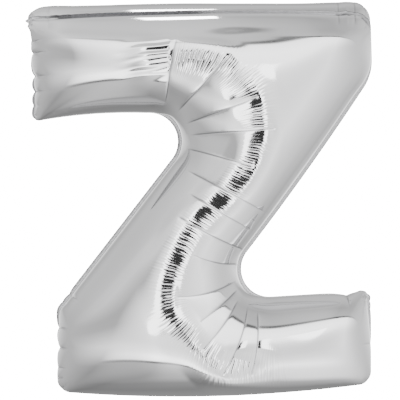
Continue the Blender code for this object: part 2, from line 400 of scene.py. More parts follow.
def follow(path, points, reach=math.inf):
    """Each point's distance to a line, how far along the line that is, and its side of it.

    Points are taken tile by tile, each with only the part of the line within reach of it.
    """
    start, span = path[:-1], np.diff(path, axis=0)
    length = np.linalg.norm(span, axis=1)
    before = places_along(path)[:-1]
    found = np.zeros((3, len(points)))
    found[0] = min(reach, FAR)
    tile = np.floor(points / TILE).astype(int)
    _, group = np.unique(tile[:, 0] * TILE_ROW + tile[:, 1], return_inverse=True)
    order = np.argsort(group, kind="stable")
    for members in np.split(order, np.flatnonzero(np.diff(group[order])) + 1):
        if not len(members):
            continue
        some = points[members]
        low, high = some.min(axis=0) - reach, some.max(axis=0) + reach
        below = np.minimum(start, start + span) < high
        above = np.maximum(start, start + span) > low
        near = (below & above).all(axis=1)
        if not near.any():
            continue
        along = span[near]
        away = some[:, None] - start[near]
        share = np.clip((away * along).sum(axis=2) / length[near] ** 2, 0, 1)
        gap = away - share[..., None] * along
        square = (gap**2).sum(axis=2)
        best = square.argmin(axis=1)
        row = np.arange(len(some))
        gap = gap[row, best]
        found[0, members] = np.minimum(np.sqrt(square[row, best]), reach)
        found[1, members] = before[near][best] + share[row, best] * length[near][best]
        found[2, members] = np.sign(along[best, 0] * gap[:, 1] - along[best, 1] * gap[:, 0])
    return found


def inside(loop, points):
    """Whether each point lies inside the closed line."""
    ahead = np.roll(loop, -1, axis=0)
    low, high = loop[:, 1], ahead[:, 1]
    slope = (ahead[:, 0] - loop[:, 0]) / np.where(high == low, 1, high - low)
    found = []
    for some in np.array_split(points, len(points) // GROUP + 1):
        level = some[:, 1][:, None]
        spans = (low <= level) != (high <= level)
        cross = loop[:, 0] + (level - low) * slope
        found.append((spans & (cross > some[:, 0][:, None])).sum(axis=1) % 2 == 1)
    return np.concatenate(found)


def closed(loop):
    """The line with its first point once more at its end."""
    return np.concatenate([loop, loop[:1]])


print("line tools ready, tiles of", TILE, "m")

# %% [markdown]
# ## Soft starts and ends
#
# Film never starts or ends a form at a sharp place. Three curves do nearly all of the fading: a smooth
# rise, a plateau between a rise and a fall, and a bell round a line. A curve drawn by hand could do the
# same, but a formula can be read, and is the same for every form.


# %% Curves
def averaged(values, window):
    """The values smoothed by a window of an odd length, with their ends held."""
    return np.convolve(np.pad(values, len(window) // 2, "edge"), window / window.sum(), "valid")


def ease(low, high, values):
    """0 below low, 1 above high, and a smooth rise between."""
    share = np.clip((values - low) / (high - low), 0, 1)
    return share**2 * (3 - 2 * share)


def plateau(rise, fall, values):
    """1 between a rise and a fall, which are each given by start and end, and 0 beyond them."""
    return ease(*rise, values) * (1 - ease(*fall, values))


def bell(distance, width, power=2):
    """1 at distance 0, dying away over the width."""
    return np.exp(-((distance / width) ** power))


print("a rise is at", ease(0, 2, 1.0), "halfway, a bell at", round(bell(1.0, 1.0), 2), "one width away")

# %% [markdown]
# ## The letter's outline
#
# The letter is cut as a Z with ten corners. Each corner is rounded and each edge bows a little, as film
# does when gas pulls it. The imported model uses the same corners, here cut much finer.

# %% Outline
FLANGE = 0.0045  # film outside the weld
WIDE_FLANGE = 0.0078  # along the diagonal
EDGE_STEP = 0.0028  # length of one step along the outline
LETTER = (  # corner x, corner z, radius, bow of the edge that follows
    (-0.3590, 0.4090, 0.009, 0.008),
    (0.3654, 0.4210, 0.040, 0.000),
    (0.3718, 0.2660, 0.107, 0.004),
    (0.0300, -0.2130, 0.059, 0.000),
    (0.3686, -0.1920, 0.017, 0.000),
    (0.3686, -0.3950, 0.030, 0.015),
    (-0.3056, -0.4130, 0.034, 0.000),
    (-0.3056, -0.2310, 0.032, 0.000),
    (0.0230, 0.1950, 0.060, -0.006),
    (-0.3590, 0.1680, 0.017, 0.002),
)


def rounded(corners, step):
    """A closed line of points round the corners, clockwise, each filleted, each edge bowed."""
    spots = [Vector(corner[:2]) for corner in corners]
    arcs = []
    for i, (_, _, radius, _) in enumerate(corners):
        to_last = (spots[i - 1] - spots[i]).normalized()
        to_next = (spots[(i + 1) % len(spots)] - spots[i]).normalized()
        half = to_last.angle(to_next) / 2
        centre = spots[i] + (to_last + to_next).normalized() * radius / math.sin(half)
        start = spots[i] + to_last * radius / math.tan(half) - centre
        turn = start.angle_signed(spots[i] + to_next * radius / math.tan(half) - centre)
        steps = max(4, round(abs(turn) * radius / step))
        arcs.append([centre + Matrix.Rotation(-turn * k / steps, 2) @ start for k in range(steps + 1)])
    points = []
    for i, arc in enumerate(arcs):
        points += arc
        along = arcs[(i + 1) % len(arcs)][0] - arc[-1]
        outward = Vector((-along.y, along.x)).normalized()
        steps = max(1, round(along.length / step))
        for k in range(1, steps):
            share = k / steps
            points.append(arc[-1] + along * share + outward * corners[i][3] * 4 * share * (1 - share))
    return np.array([tuple(point) for point in points])


def inset(loop, depth):
    """The closed line moved inwards by depth, point for point."""
    ahead = unit(np.roll(loop, -1, axis=0) - loop)
    behind = unit(loop - np.roll(loop, 1, axis=0))
    return loop - unit(left_of(ahead + behind)) * depth


def flange_width(edge):
    """Width of the film outside the weld along the outline, and its share of the way to wide."""
    outward = edge - inset(edge, 1)
    wide = ease(0.25, 0.70, np.abs(outward[:, 0])) * (1 - ease(0.20, 0.34, np.abs(edge[:, 1])))
    return FLANGE + (WIDE_FLANGE - FLANGE) * wide, wide


cut_edge = rounded(LETTER, EDGE_STEP)
flange, wide = flange_width(cut_edge)
rim = inset(cut_edge, flange[:, None])
print("outline of", len(cut_edge), "points,", round(1000 * flange.max(), 1), "mm of film outside the weld")

# %% [markdown]
# ## Pleats
#
# Film can't stretch. Where a limb turns a corner, the inner edge of the turn is too long for the round
# shape, and the spare length gathers into pleats that fan out from the notch. Each pleat is a sharp
# valley with a puffed cushion on both sides. A cloth simulation makes such pleats too, but puts them
# where it likes. Here each is a curve through three chosen points, so they lie as on the real one.

# %% Pleat routes
PLEATS = (  # root x, z, middle x, z, tip x, z in metres, depth in millimetres
    (-0.0709, 0.2043, -0.0577, 0.2911, -0.0477, 0.3488, 2.0),
    (-0.0459, 0.1857, 0.0100, 0.2450, 0.0675, 0.3082, 3.0),
    (-0.0288, 0.1607, 0.0500, 0.1880, 0.1304, 0.2184, 2.8),
    (-0.0214, 0.1372, 0.0680, 0.1430, 0.1656, 0.1500, 2.4),
    (-0.0278, 0.1098, 0.0440, 0.0900, 0.1192, 0.0680, 2.6),
    (-0.0278, 0.0645, 0.0540, 0.0210, 0.1410, -0.0261, 2.6),
    (-0.0235, 0.0165, 0.0420, -0.0240, 0.1154, -0.0654, 2.0),
    (0.1026, -0.1086, 0.0300, -0.0760, -0.0481, -0.0327, 2.2),
    (0.0865, -0.1359, 0.0350, -0.1310, -0.0154, -0.1128, 2.4),
    (0.0791, -0.1705, 0.0150, -0.1960, -0.0545, -0.2026, 2.6),
    (0.0833, -0.1876, 0.0450, -0.2230, 0.0021, -0.2560, 2.6),
    (0.0833, -0.2090, 0.0480, -0.2680, 0.0021, -0.3180, 2.6),
    (0.1026, -0.2231, 0.0850, -0.2990, 0.0457, -0.3729, 2.0),
    (0.1235, -0.2330, 0.1230, -0.3020, 0.1098, -0.3703, 1.8),
)
LEFT_GUIDE = (-0.1902, 0.1900, -0.1902, 0.2900, -0.1902, 0.3900, 0.0)  # no pleat, only the run's start
RIGHT_GUIDE = (0.2200, -0.2250, 0.2200, -0.3000, 0.2200, -0.3800, 0.0)
CREST = (  # the ridge along the pleated run
    (-0.1900, 0.2960),
    (-0.0491, 0.3030),
    (0.0470, 0.2975),
    (0.0876, 0.2600),
    (0.1218, 0.2184),
    (0.1320, 0.1500),
    (0.1111, 0.0730),
    (0.0684, 0.0154),
    (0.0128, -0.0380),
    (-0.0171, -0.0594),
    (-0.0436, -0.1171),
    (-0.0598, -0.1513),
    (-0.0680, -0.1898),
    (-0.0662, -0.2304),
    (-0.0449, -0.2667),
    (-0.0171, -0.2945),
    (0.0278, -0.3436),
    (0.0513, -0.3564),
    (0.1175, -0.3586),
    (0.2200, -0.3600),
)
CREST_STEP = 0.006
CREST_LENGTH = 1.2  # in round figures
PLEAT_STEP = 0.0018


def bent(row, step):
    """Points along the curve through a row's three places."""
    root, middle, tip = (np.array(row[i : i + 2]) for i in (0, 2, 4))
    share = np.linspace(0, 1, round(np.linalg.norm(tip - root) / step) + 1)[:, None]
    from_root = root * (2 * share - 1) * (share - 1)
    from_middle = middle * 4 * share * (1 - share)
    from_tip = tip * share * (2 * share - 1)
    return from_root + from_middle + from_tip


def smoothed(path, step, rounds=3):
    """The open line with its corners cut off, as evenly spaced points."""
    path = np.array(path)
    for _ in range(rounds):
        low = path[:-1] * 0.75 + path[1:] * 0.25
        high = path[:-1] * 0.25 + path[1:] * 0.75
        between = np.stack([low, high], axis=1).reshape(-1, 2)
        path = np.concatenate([path[:1], between, path[-1:]])
    along = places_along(path)
    even = np.arange(0, along[-1], step)
    return np.stack([np.interp(even, along, path[:, axis]) for axis in (0, 1)], axis=1)


crest = smoothed(CREST, CREST_STEP)
pleat_lines = [bent(row, PLEAT_STEP) for row in PLEATS]
print(len(PLEATS), "pleats along a crest of", round(CREST_STEP * len(crest), 2), "m")

# %% [markdown]
# ## Gathers at the rim
#
# At the ends of the bars the weld is longer than the film's edge wants to be. It gathers: the rim is
# pulled in at a few spots, the film stands out as small scallops between them, and a short crease runs
# in from each spot. Ears are the same with the rim pushed out.

# %% Gather routes
GATHER_LENGTH = 2.2  # a gather's crease is this many times as long as its reach
GATHERS = (  # x, z, heading inwards in degrees, pull (less than 0 pushes out), width, reach, crease in mm
    (-0.3605, 0.3565, 0, 7.0, 8.0, 14.0, 1.6),
    (-0.3600, 0.3161, 0, 8.0, 9.0, 18.0, 2.8),
    (-0.3590, 0.2643, 0, 10.0, 9.0, 18.0, 2.8),
    (-0.3590, 0.2317, 0, 9.0, 8.0, 15.0, 2.0),
    (-0.3590, 0.2020, 0, 5.0, 7.0, 10.0, 1.2),
    (-0.3590, 0.3960, 350, -14.0, 7.0, 10.0, 0.0),
    (-0.3480, 0.4120, 250, 2.5, 5.0, 10.0, 0.8),
    (-0.3180, 0.4135, 270, 2.0, 5.0, 9.0, 0.6),
    (0.2950, 0.4200, 270, 2.5, 4.0, 8.0, 0.7),
    (0.3120, 0.4200, 270, -3.0, 4.0, 8.0, 0.0),
    (0.3330, 0.4190, 250, 2.5, 4.0, 8.0, 0.8),
    (0.3550, 0.4050, 225, 2.0, 6.0, 8.0, 0.5),
    (-0.2790, -0.1990, 330, 3.0, 6.0, 12.0, 1.2),
    (-0.3000, -0.2130, 330, 3.0, 5.0, 10.0, 0.9),
    (-0.3056, -0.2720, 0, 6.0, 8.0, 14.0, 1.6),
    (-0.3056, -0.3140, 0, 10.0, 10.0, 14.0, 1.8),
    (-0.3056, -0.3560, 0, 5.0, 16.0, 12.0, 1.2),
    (-0.3000, -0.3810, 20, 2.5, 5.0, 8.0, 0.9),
    (-0.2900, -0.3990, 50, 2.0, 5.0, 8.0, 0.7),
    (0.3137, -0.1950, 280, 10.0, 16.0, 16.0, 1.8),
    (0.3440, -0.1880, 280, -6.0, 9.0, 8.0, 0.0),
    (0.3620, -0.1980, 215, 3.0, 5.0, 9.0, 1.1),
    (0.3686, -0.2150, 180, 3.0, 5.0, 9.0, 1.0),
    (0.3686, -0.2330, 180, 2.0, 6.0, 9.0, 0.6),
    (0.3686, -0.3050, 180, 1.5, 9.0, 12.0, 0.8),
    (0.3640, -0.3850, 160, 2.0, 6.0, 9.0, 0.7),
    (-0.2370, -0.0950, 325, 1.5, 4.0, 8.0, 0.7),
    (-0.2240, -0.0780, 325, 1.5, 4.0, 8.0, 0.7),
    (-0.2090, -0.0590, 325, 1.5, 4.0, 8.0, 0.6),
)


def gather_line(row):
    """The short crease that runs inwards from a gather."""
    x, z, heading, _, _, reach, _ = row
    return (x, z) + np.arange(0.0, GATHER_LENGTH * reach / 1000, PLEAT_STEP)[:, None] * pointing(heading)


gather_lines = [gather_line(row) for row in GATHERS if row[6] >= 1]
print(len(GATHERS), "gathers,", len(gather_lines), "of them creased")

# %% [markdown]
# ## A fine pattern
#
# The mesh is finest where the light shows the most: along the pleats, in the rippled run beside them,
# and at the rim, where a round limb stands almost upright and a flat grid would leave big steps. So
# rows of points follow the rim at even steps of the limb's curve, and a triangulation joins them all.

# %% Flat pattern
FIELD_PITCH = 0.0040
RUN_PITCH = 0.0015
RUN_REACH = 0.040  # the fine field reaches this far from the crest
CREASE_ROW = 0.0010  # rows of points beside each pleat, so that its valley is sharp
CREASE_BAND = 2.4 * CREASE_ROW
RIM_RADIUS = 0.110  # of the round section at the rim
RIM_TURN = math.radians(2.0)
RIM_ROWS = 9
ROW_SHARE = 0.97  # a rim row keeps its points where it is at least this share of its depth from the rim
CLEARANCE = 0.6  # points keep off the rim rows by this share of their pitch


def hexagons(low, high, pitch):
    """An even field of points over a box."""
    rows = []
    row_pitch = pitch * math.sqrt(3) / 2
    for i in range(int((high[1] - low[1]) / row_pitch) + 1):
        xs = np.arange(low[0] + pitch / 2 * (i % 2), high[0], pitch)
        rows.append(np.stack([xs, np.full(len(xs), low[1] + i * row_pitch)], axis=1))
    return np.concatenate(rows)


def moved_aside(line, gap):
    """The open line moved to its left by gap."""
    return line + left_of(unit(np.gradient(line, axis=0))) * gap


def flat_pattern(rim, field_pitch, run_pitch, lines):
    """Points inside the rim and the triangles between them, rim points first."""
    points = [rim]
    border = closed(rim)
    for row in range(1, RIM_ROWS + 1):
        depth = RIM_RADIUS * (1 - math.cos(RIM_TURN * row))
        ring = inset(rim, depth)
        ring = ring[inside(rim, ring)]
        points.append(ring[follow(border, ring, 2 * depth)[0] > ROW_SHARE * depth])

    def within(spots, pitch):
        """The points that lie inside the innermost row."""
        spots = spots[inside(rim, spots)]
        return spots[follow(border, spots, 2 * depth)[0] > depth + CLEARANCE * pitch]

    points.append(within(np.concatenate(lines), run_pitch))
    for line in lines:
        for gap in (CREASE_ROW, -CREASE_ROW, CREASE_BAND, -CREASE_BAND):
            points.append(within(moved_aside(line, gap), run_pitch))
    for pitch, in_run in ((run_pitch, True), (field_pitch, False)):
        field = hexagons(rim.min(axis=0), rim.max(axis=0), pitch)
        from_crest = follow(crest, field, 2 * RUN_REACH)[0]
        field = within(field[(from_crest < RUN_REACH) == in_run], pitch)
        clear_of_line = 0.45 * pitch + CREASE_BAND
        for line in lines:
            field = field[follow(line, field, 2 * clear_of_line)[0] > clear_of_line]
        points.append(field)
    every = [Vector(point) for point in np.concatenate(points)]
    edges = [(i, (i + 1) % len(rim)) for i in range(len(rim))]
    spots, _, faces, *_ = delaunay_2d_cdt(every, edges, [], 1, 1e-7)
    return np.array([tuple(spot) for spot in spots]), np.array(faces)


pattern, triangles = flat_pattern(rim, FIELD_PITCH, RUN_PITCH, [*pleat_lines, *gather_lines])
print("pattern of", len(pattern), "points and", len(triangles), "triangles")

# %% [markdown]
# ## Blowing it up
#
# The height that gas gives a flat pattern comes from a pressed membrane: the same sum that gives the
# sag of a soap film. Its square root is a half circle across a straight limb and a fuller dome where
# limbs meet. The same sum without gas spreads a number evenly between places where it is fixed, which
# later tells how far along the letter each point lies.

# %% Membrane
ROUNDNESS = 0.90  # depth of a limb over its width
PUSH = (  # x, z, reach in metres and how much more (or less) than plain gas pushes the film there
    (0.1000, 0.1900, 0.120, -0.79),
    (-0.0550, -0.2200, 0.115, -0.77),
    (0.1130, 0.3330, 0.045, 0.90),
    (0.2950, 0.3600, 0.055, 1.40),
    (-0.3000, 0.3600, 0.040, 0.70),
    (0.3150, -0.2400, 0.045, 1.20),
    (-0.1400, -0.2800, 0.060, -0.20),
    (-0.0950, -0.3450, 0.045, 0.50),
)
RIDGE_PUSH = 0.50  # the film is tightest on the drawn ridge
RIDGE_WIDTH = 0.026
SETTLED = 1e-8  # share of the first error that may be left
MOST_STEPS = 6000


def corner_weights(points, faces):
    """How strongly the two ends of each triangle side pull on each other."""
    sides = np.roll(points[faces], -1, axis=1) - np.roll(points[faces], 1, axis=1)
    area = np.abs(sides[:, 0, 0] * sides[:, 1, 1] - sides[:, 0, 1] * sides[:, 1, 0]) / 2
    weight = (sides * np.roll(sides, -1, axis=1)).sum(axis=2) / (4 * area[:, None])
    load = np.bincount(faces.ravel(), np.repeat(area / 3, 3), len(points))
    return faces.ravel(), np.roll(faces, -1, axis=1).ravel(), -weight.ravel(), load


def settle(points, faces, held, level, gas, spring=0.0):
    """The membrane's level at each point, with some points held at a level.

    Gas presses it up. A spring pulls every point towards level 0.
    """
    first, second, weight, load = corner_weights(points, faces)
    count = len(points)

    def pull(level):
        step = weight * (level[first] - level[second])
        return np.bincount(first, step, count) - np.bincount(second, step, count) + spring * load * level

    own = np.bincount(first, weight, count) + np.bincount(second, weight, count) + spring * load
    free = ~held
    rest = (gas * load - pull(level)) * free
    soft = free / np.where(own > 0, own, 1)
    search = soft * rest
    energy = rest @ search
    goal = energy * SETTLED**2
    for _ in range(MOST_STEPS):
        change = pull(search) * free
        reach = energy / (search @ change)
        level = level + reach * search
        rest = rest - reach * change
        ready = soft * rest
        new_energy = rest @ ready
        if new_energy < goal:
            break
        search = ready + search * new_energy / energy
        energy = new_energy
    return level


on_rim = np.arange(len(pattern)) < len(rim)


def pushed(points):
    """The push on the film at each point."""
    push = np.ones(len(points))
    for x, z, reach, change in PUSH:
        push += change * np.exp(-((points - (x, z)) ** 2).sum(axis=1) / reach**2)
    return push


swell = settle(pattern, triangles, on_rim, np.zeros(len(pattern)), pushed(pattern))
print("plain gas would raise the panel by", round(1000 * ROUNDNESS * math.sqrt(2 * swell.max()), 1), "mm")

# %% [markdown]
# ## Drawing the ridge outwards
#
# In a bend the pleats pull the film, so the ridge of the limb moves away from the notch. That is made as
# a shift of the flat pattern: the film at a place gets the height that plain gas gives somewhere else.
# The shift is fixed at the rim and on the ridge, and the membrane sum spreads it between.

# %% Drawn pattern
RIDGE_SEARCH = 0.070  # plain gas puts the ridge within this distance of the drawn one
SOFT = 0.032  # the shift is smoothed over this length
SHIFT_GAIN = 1.85  # makes up for what the smoothing takes off the ridge
SEARCH_SLICE = 0.006  # points this near to a crossing line count as on it
DRAWN_SPAN = ((0.05, 0.16), (0.80, 0.92))  # shares of the crest where the drawing comes and goes
TIGHT_SPAN = ((0.10, 0.25), (0.85, 0.98))  # and where the film gets tight and slack


def crossing(points, values, spot, heading, slice_half, reach):
    """Places across the heading at a spot, and the values there, from the points in a narrow slice."""
    offset = points - spot
    along = offset @ heading
    across = offset @ (-heading[1], heading[0])
    near = (np.abs(along) < slice_half) & (np.abs(across) < reach)
    return across[near], values[near]


def plain_ridge(points, swell, spot, heading):
    """How far across the heading the highest swell lies from a spot."""
    curve = np.polyfit(*crossing(points, swell, spot, heading, SEARCH_SLICE, RIDGE_SEARCH), 4)
    tries = np.linspace(-RIDGE_SEARCH, RIDGE_SEARCH, 141)
    return tries[np.polyval(curve, tries).argmax()]


headings = unit(np.gradient(crest, axis=0))
sideways = np.array([plain_ridge(pattern, swell, *pair) for pair in zip(crest, headings)])
sideways = averaged(sideways, np.ones(11))
crest_share = np.arange(len(crest)) / len(crest)
sideways *= plateau(*DRAWN_SPAN, crest_share)
across_crest = left_of(headings)

distance, place, _ = follow(crest, pattern, 3 * RIDGE_WIDTH)
on_crest = distance < 0.7 * RUN_PITCH
nearest = np.clip((place / CREST_STEP).round().astype(int), 0, len(crest) - 1)
drawn = pattern.copy()
flat = np.zeros(len(pattern))
for axis in (0, 1):
    wanted = np.where(on_crest, (sideways[:, None] * across_crest)[nearest, axis], 0.0)
    sharp = settle(pattern, triangles, on_rim | on_crest, wanted, 0.0)
    drawn[:, axis] += settle(pattern, triangles, on_rim, flat, SHIFT_GAIN * sharp / SOFT**2, 1 / SOFT**2)
push = pushed(pattern)
tight = plateau(*TIGHT_SPAN, place / CREST_LENGTH)
push += RIDGE_PUSH * tight * bell(distance, RIDGE_WIDTH)
swell = settle(drawn, triangles, on_rim, flat, push)
height = ROUNDNESS * np.sqrt(2 * np.maximum(swell, 0))
print("the ridge is drawn by", round(1000 * sideways.min()), "to", round(1000 * sideways.max()), "mm")
print("the panel rises", round(1000 * height.max(), 1), "mm from the seam")

# %% [markdown]
# ## The section across the ridge
#
# Pleats hold the film back evenly on both sides of the ridge, so that its section there is the same
# round arc all the way. At each step along the ridge a parabola is laid through the film. The tilt that
# it shows, and what it shows of bend too much or too little, are taken out again near the ridge.

# %% Ridge section
RIDGE_RADIUS = 0.200
RIDGE_FLAT = 0.014  # the change is whole this near to the ridge
RIDGE_REACH = 0.062  # and nothing from here on
SECTION_SLICE = 0.007  # half of a slice's thickness
SECTION_REACH = 0.024  # the parabola is laid through the film this near to the ridge
SECTION_SPAN = ((0.06, 0.16), (0.86, 0.96))  # shares of the crest where the change comes and goes


def section(points, height, spot, heading):
    """Tilt and bend of the film across the heading at a spot."""
    across, level = crossing(points, height, spot, heading, SECTION_SLICE, SECTION_REACH)
    bend, tilt, _ = np.polyfit(across, level, 2)
    return tilt, bend


sections = np.array([section(pattern, height, *pair) for pair in zip(crest, headings)])
tilts, bends = (averaged(column, np.ones(9)) for column in sections.T)
distance, place, side = follow(crest, pattern, 1.2 * RIDGE_REACH)
station = place / CREST_STEP
tilt, bend = (np.interp(station, np.arange(len(crest)), values) for values in (tilts, bends))
across = distance * side
share = 1 - ease(RIDGE_FLAT, RIDGE_REACH, distance)
share *= plateau(*SECTION_SPAN, place / CREST_LENGTH)
height -= share * (tilt * across + (bend + 0.5 / RIDGE_RADIUS) * across**2)
ridge_height = [height[((pattern - spot) ** 2).sum(axis=1).argmin()] for spot in crest[::12]]
print("height along the ridge in mm:", [round(1000 * value) for value in ridge_height])
print("tilt across it was", np.round(np.degrees(tilts[::12]), 1))
print("radius across it was", np.round(-500 / bends[::12]), "mm")

# %% [markdown]
# ## How far along
#
# Ripples and pleats run across the limbs and fan round the notches. A number that grows along the
# letter and is even on each pleat gives both their direction and their spacing.

# %% Run of the letter
run_lines = [bent(LEFT_GUIDE, PLEAT_STEP), *pleat_lines, bent(RIGHT_GUIDE, PLEAT_STEP)]
crest_along = CREST_STEP * np.arange(len(crest))
run_marks = []
held = np.zeros(len(pattern), bool)
run = np.zeros(len(pattern))
for line in run_lines:
    distance, place, _ = follow(line, crest)
    mark = crest_along[distance.argmin()]
    run_marks.append(mark)
    near = follow(line, pattern, RUN_PITCH)[0] < 0.6 * RUN_PITCH
    held |= near
    run[near] = mark
run = settle(pattern, triangles, held, run, 0.0)
print("marks along the crest:", [round(mark, 3) for mark in run_marks])

# %% [markdown]
# ## Pressing the pleats in
#
# Every form from here on moves the film along its own normal. A pleat is the sum of a wide hollow, which
# leaves the cushions between pleats standing proud, and a narrow one, which draws the line. A bump in the
# finish could draw the line alone, but a mirror shows at once that the cushions beside it are missing.

# %% Pleats
NARROW = 0.0014  # width of a pleat's line
WIDE = 0.014  # width of the hollow around it
LINE_SHARE = 0.28  # of a pleat's depth that lies in its line
PLEAT_REACH = 0.07  # no pleat is felt further away
ROUTE_STEP = 0.004  # step of the route that a pleat's depth is measured from
CREASE_SHADE_WIDTH = 0.0013  # of the painted shade along a pleat's line


def pleat_hollow(points, rows, seed):
    """How far the pleats draw the film in at each point, and the painted shade along each pleat's line."""
    chance = np.random.RandomState(seed)
    hollow = np.zeros(len(points))
    creased = np.zeros(len(points))
    for row in rows:
        line = bent(row, ROUTE_STEP)
        distance, place, _ = follow(line, points, PLEAT_REACH)
        share = place / (ROUTE_STEP * (len(line) - 1))
        fade = ease(0, 0.12, share) * (1 - 0.45 * ease(0.35, 1.0, share)) * (1 - ease(0.93, 1.0, share))
        depth = row[6] / 1000 * chance.uniform(0.85, 1.15)
        shape = LINE_SHARE * bell(distance, NARROW, 1.5) + (1 - LINE_SHARE) * bell(distance, WIDE, 1.2)
        hollow += depth * fade * shape
        # painted shade along the pleat's line
        creased = np.maximum(creased, fade * bell(distance, CREASE_SHADE_WIDTH))
    return hollow, creased


hollow, creased = pleat_hollow(pattern, PLEATS, 11)
print("pleats are up to", round(1000 * hollow.max(), 1), "mm deep")

# %% [markdown]
# ## Ripples across the ridge
#
# Between the pleats' tips the film is pulled along the limb and buckles in fine waves across the ridge,
# in patches and never quite evenly. The waves follow the run of the letter, so that they fan out round
# the notches. A wandering value made of a few long sines in chance headings gives the patches.

# %% Ripples
RIPPLE_WAVE = 0.0112
RIPPLE_HEIGHT = 0.00013
RIPPLE_REACH = 0.026
RIPPLE_SPAN = ((0.135, 0.16), (1.10, 1.18))  # metres along the run where the ripples come and go
WAVES = 7  # summed in one wandering value


def drift(points, size, seed):
    """A smooth wandering value of about -1 to 1, with bumps of about the given size."""
    chance = np.random.RandomState(seed)
    value = np.zeros(len(points))
    for _ in range(WAVES):
        heading = chance.uniform(0, math.tau)
        wave = math.tau / size * chance.uniform(0.6, 1.4)
        across = points @ (math.cos(heading), math.sin(heading))
        value += np.sin(wave * across + chance.uniform(0, math.tau))
    return value / math.sqrt(WAVES)


def ripple_strength(points, run, seed):
    """Where the film ripples: near the crest, between the first pleat and the last, in patches."""
    distance = follow(crest, points, 3 * RIPPLE_REACH)[0]
    ends = plateau(*RIPPLE_SPAN, run)
    ends *= 1.0 + 0.8 * (1 - ease(0.28, 0.36, run)) + 0.5 * ease(0.95, 1.02, run)
    patches = np.clip(0.75 + 0.45 * drift(points, 0.05, seed + 1), 0.15, 1.3)
    return bell(distance, RIPPLE_REACH) * ends * patches


def ripples(points, run, strength, seed):
    """Fine waves across the crest."""
    phase = math.tau * run / RIPPLE_WAVE + 1.3 * drift(points, 0.10, seed)
    return RIPPLE_HEIGHT * strength * np.sin(phase)


rippled = ripple_strength(pattern, run, 21)
ripple = ripples(pattern, run, rippled, 21)
print("ripples of up to", round(1e6 * ripple.max()), "micrometres")

# %% [markdown]
# ## Long folds and slow waves
#
# Long folds lie beside the first pleat, where the bar's film is pulled lengthways, on a cushion that the
# pleat pushes up. All over the film there are slow waves as well, too flat to see, and yet they are why
# no reflection on a balloon has a straight edge.

# %% Folds
FOLD_WAVE = 0.0210
FOLD_HEIGHT = 0.00120
FOLD_MIDDLE = (-0.06, 0.306)
FOLD_SLOPE = 0.15
FOLD_BAND = 0.036  # they die away over this distance to either side
FOLD_SPAN = ((-0.19, -0.10), (-0.066, -0.060))  # where along the bar they come and go
CUSHION_HEIGHT = 0.0035  # of the cushion that the folds lie on
CUSHION_MIDDLE = (-0.112, 0.300)
CUSHION_SIZE = (0.030, 0.045)
UNEVEN = 0.0009  # height of the slow waves
RIM_REACH = 0.07  # the rim is felt this far into the film


def long_folds(points, seed):
    """Lengthways folds on the top bar beside the first pleat."""
    x, z = points.T
    span = plateau(*FOLD_SPAN, x)
    level = z - FOLD_MIDDLE[1] - FOLD_SLOPE * (x - FOLD_MIDDLE[0])
    wave = np.sin(math.tau * level / FOLD_WAVE + 0.4 * drift(points, 0.05, seed))
    cushion = bell(x - CUSHION_MIDDLE[0], CUSHION_SIZE[0]) * bell(z - CUSHION_MIDDLE[1], CUSHION_SIZE[1])
    return FOLD_HEIGHT * span * bell(level, FOLD_BAND) * wave + CUSHION_HEIGHT * cushion


rim_depth, rim_place, _ = follow(closed(rim), pattern, RIM_REACH)
lift = ripple - hollow
lift += long_folds(pattern, 31)
lift += UNEVEN * drift(pattern, 0.22, 41) * ease(0.01, 0.06, rim_depth)
lift *= ease(0, 0.010, rim_depth)
print("displaced by", round(1000 * lift.min(), 2), "to", round(1000 * lift.max(), 2), "mm")

# %% [markdown]
# ## Pulling the gathers in
#
# A gather moves the flat pattern in its plane: most at its spot on the rim, and less with each step
# away from it. Its crease runs inwards and draws the film in like a small pleat.

# %% Gathers
GATHER_CREASE = 0.0024


def gathered(points):
    """The points moved in their plane by the gathers, how far creases draw them in, and the painted shade
    along their creases.
    """
    moved = points.copy()
    hollow = np.zeros(len(points))
    sharp = np.zeros(len(points))
    for x, z, heading, pull, width, reach, crease in GATHERS:
        pulled = pointing(heading)
        offset = points - (x, z)
        inward = offset @ pulled
        beside = np.abs(offset @ (-pulled[1], pulled[0]))
        share = np.exp(-1000 * beside / width - 1000 * np.abs(inward) / reach)
        moved += pull / 1000 * share[:, None] * pulled
        length = GATHER_LENGTH * reach / 1000
        fade = plateau((-0.004, 0.002), (0.3 * length, length), inward)
        hollow += crease / 1000 * fade * np.exp(-beside / GATHER_CREASE)
        # painted shade along the gather's crease
        sharp = np.maximum(sharp, min(crease, 1.5) / 1.5 * fade * bell(beside, CREASE_ROW))
    return moved, hollow, sharp


gathered_pattern, gather_hollow, gather_shade = gathered(pattern)
lift -= gather_hollow * ease(0, 0.004, rim_depth)
creased = np.maximum(creased, gather_shade)
gather_shift = np.abs(gathered_pattern - pattern).max()
print("gathers move the rim by up to", round(1000 * gather_shift, 1), "mm")

# %% [markdown]
# ## Film that hangs over its weld
#
# Along the bars' ends and outer edges the weld is gathered so much that the film beside it bulges out
# beyond it and hides the band from the front. Along the diagonal it doesn't.

# %% Overhang
OVERHANG = 0.0056
OVERHANG_START = 0.0006  # depth inside the rim at which most of the bulge is reached
OVERHANG_END = 0.016  # it fades out over this depth

edge_place = places_along(closed(rim))
edge_out = left_of(unit(np.gradient(closed(rim), axis=0)))
outward = np.stack([np.interp(rim_place, edge_place, column) for column in edge_out.T], axis=1)
narrow = 1 - np.interp(rim_place, edge_place, np.append(wide, wide[0]))
bulge = OVERHANG * narrow * (1 - np.exp(-rim_depth / OVERHANG_START)) * np.exp(-rim_depth / OVERHANG_END)
bulge *= 1 - ease(0.8, 1.0, rim_depth / RIM_REACH)
gathered_pattern = gathered_pattern + bulge[:, None] * outward
print("film hangs over its weld by up to", round(1000 * (bulge - rim_depth).max(), 1), "mm")

# %% [markdown]
# ## Leaning the top seam
#
# The top bar has rolled a little, so that its seam faces the reader and the back panel shows above it
# as a grey strip. The roll turns each point round the bar's middle line, least in the middle and most
# at the seam.

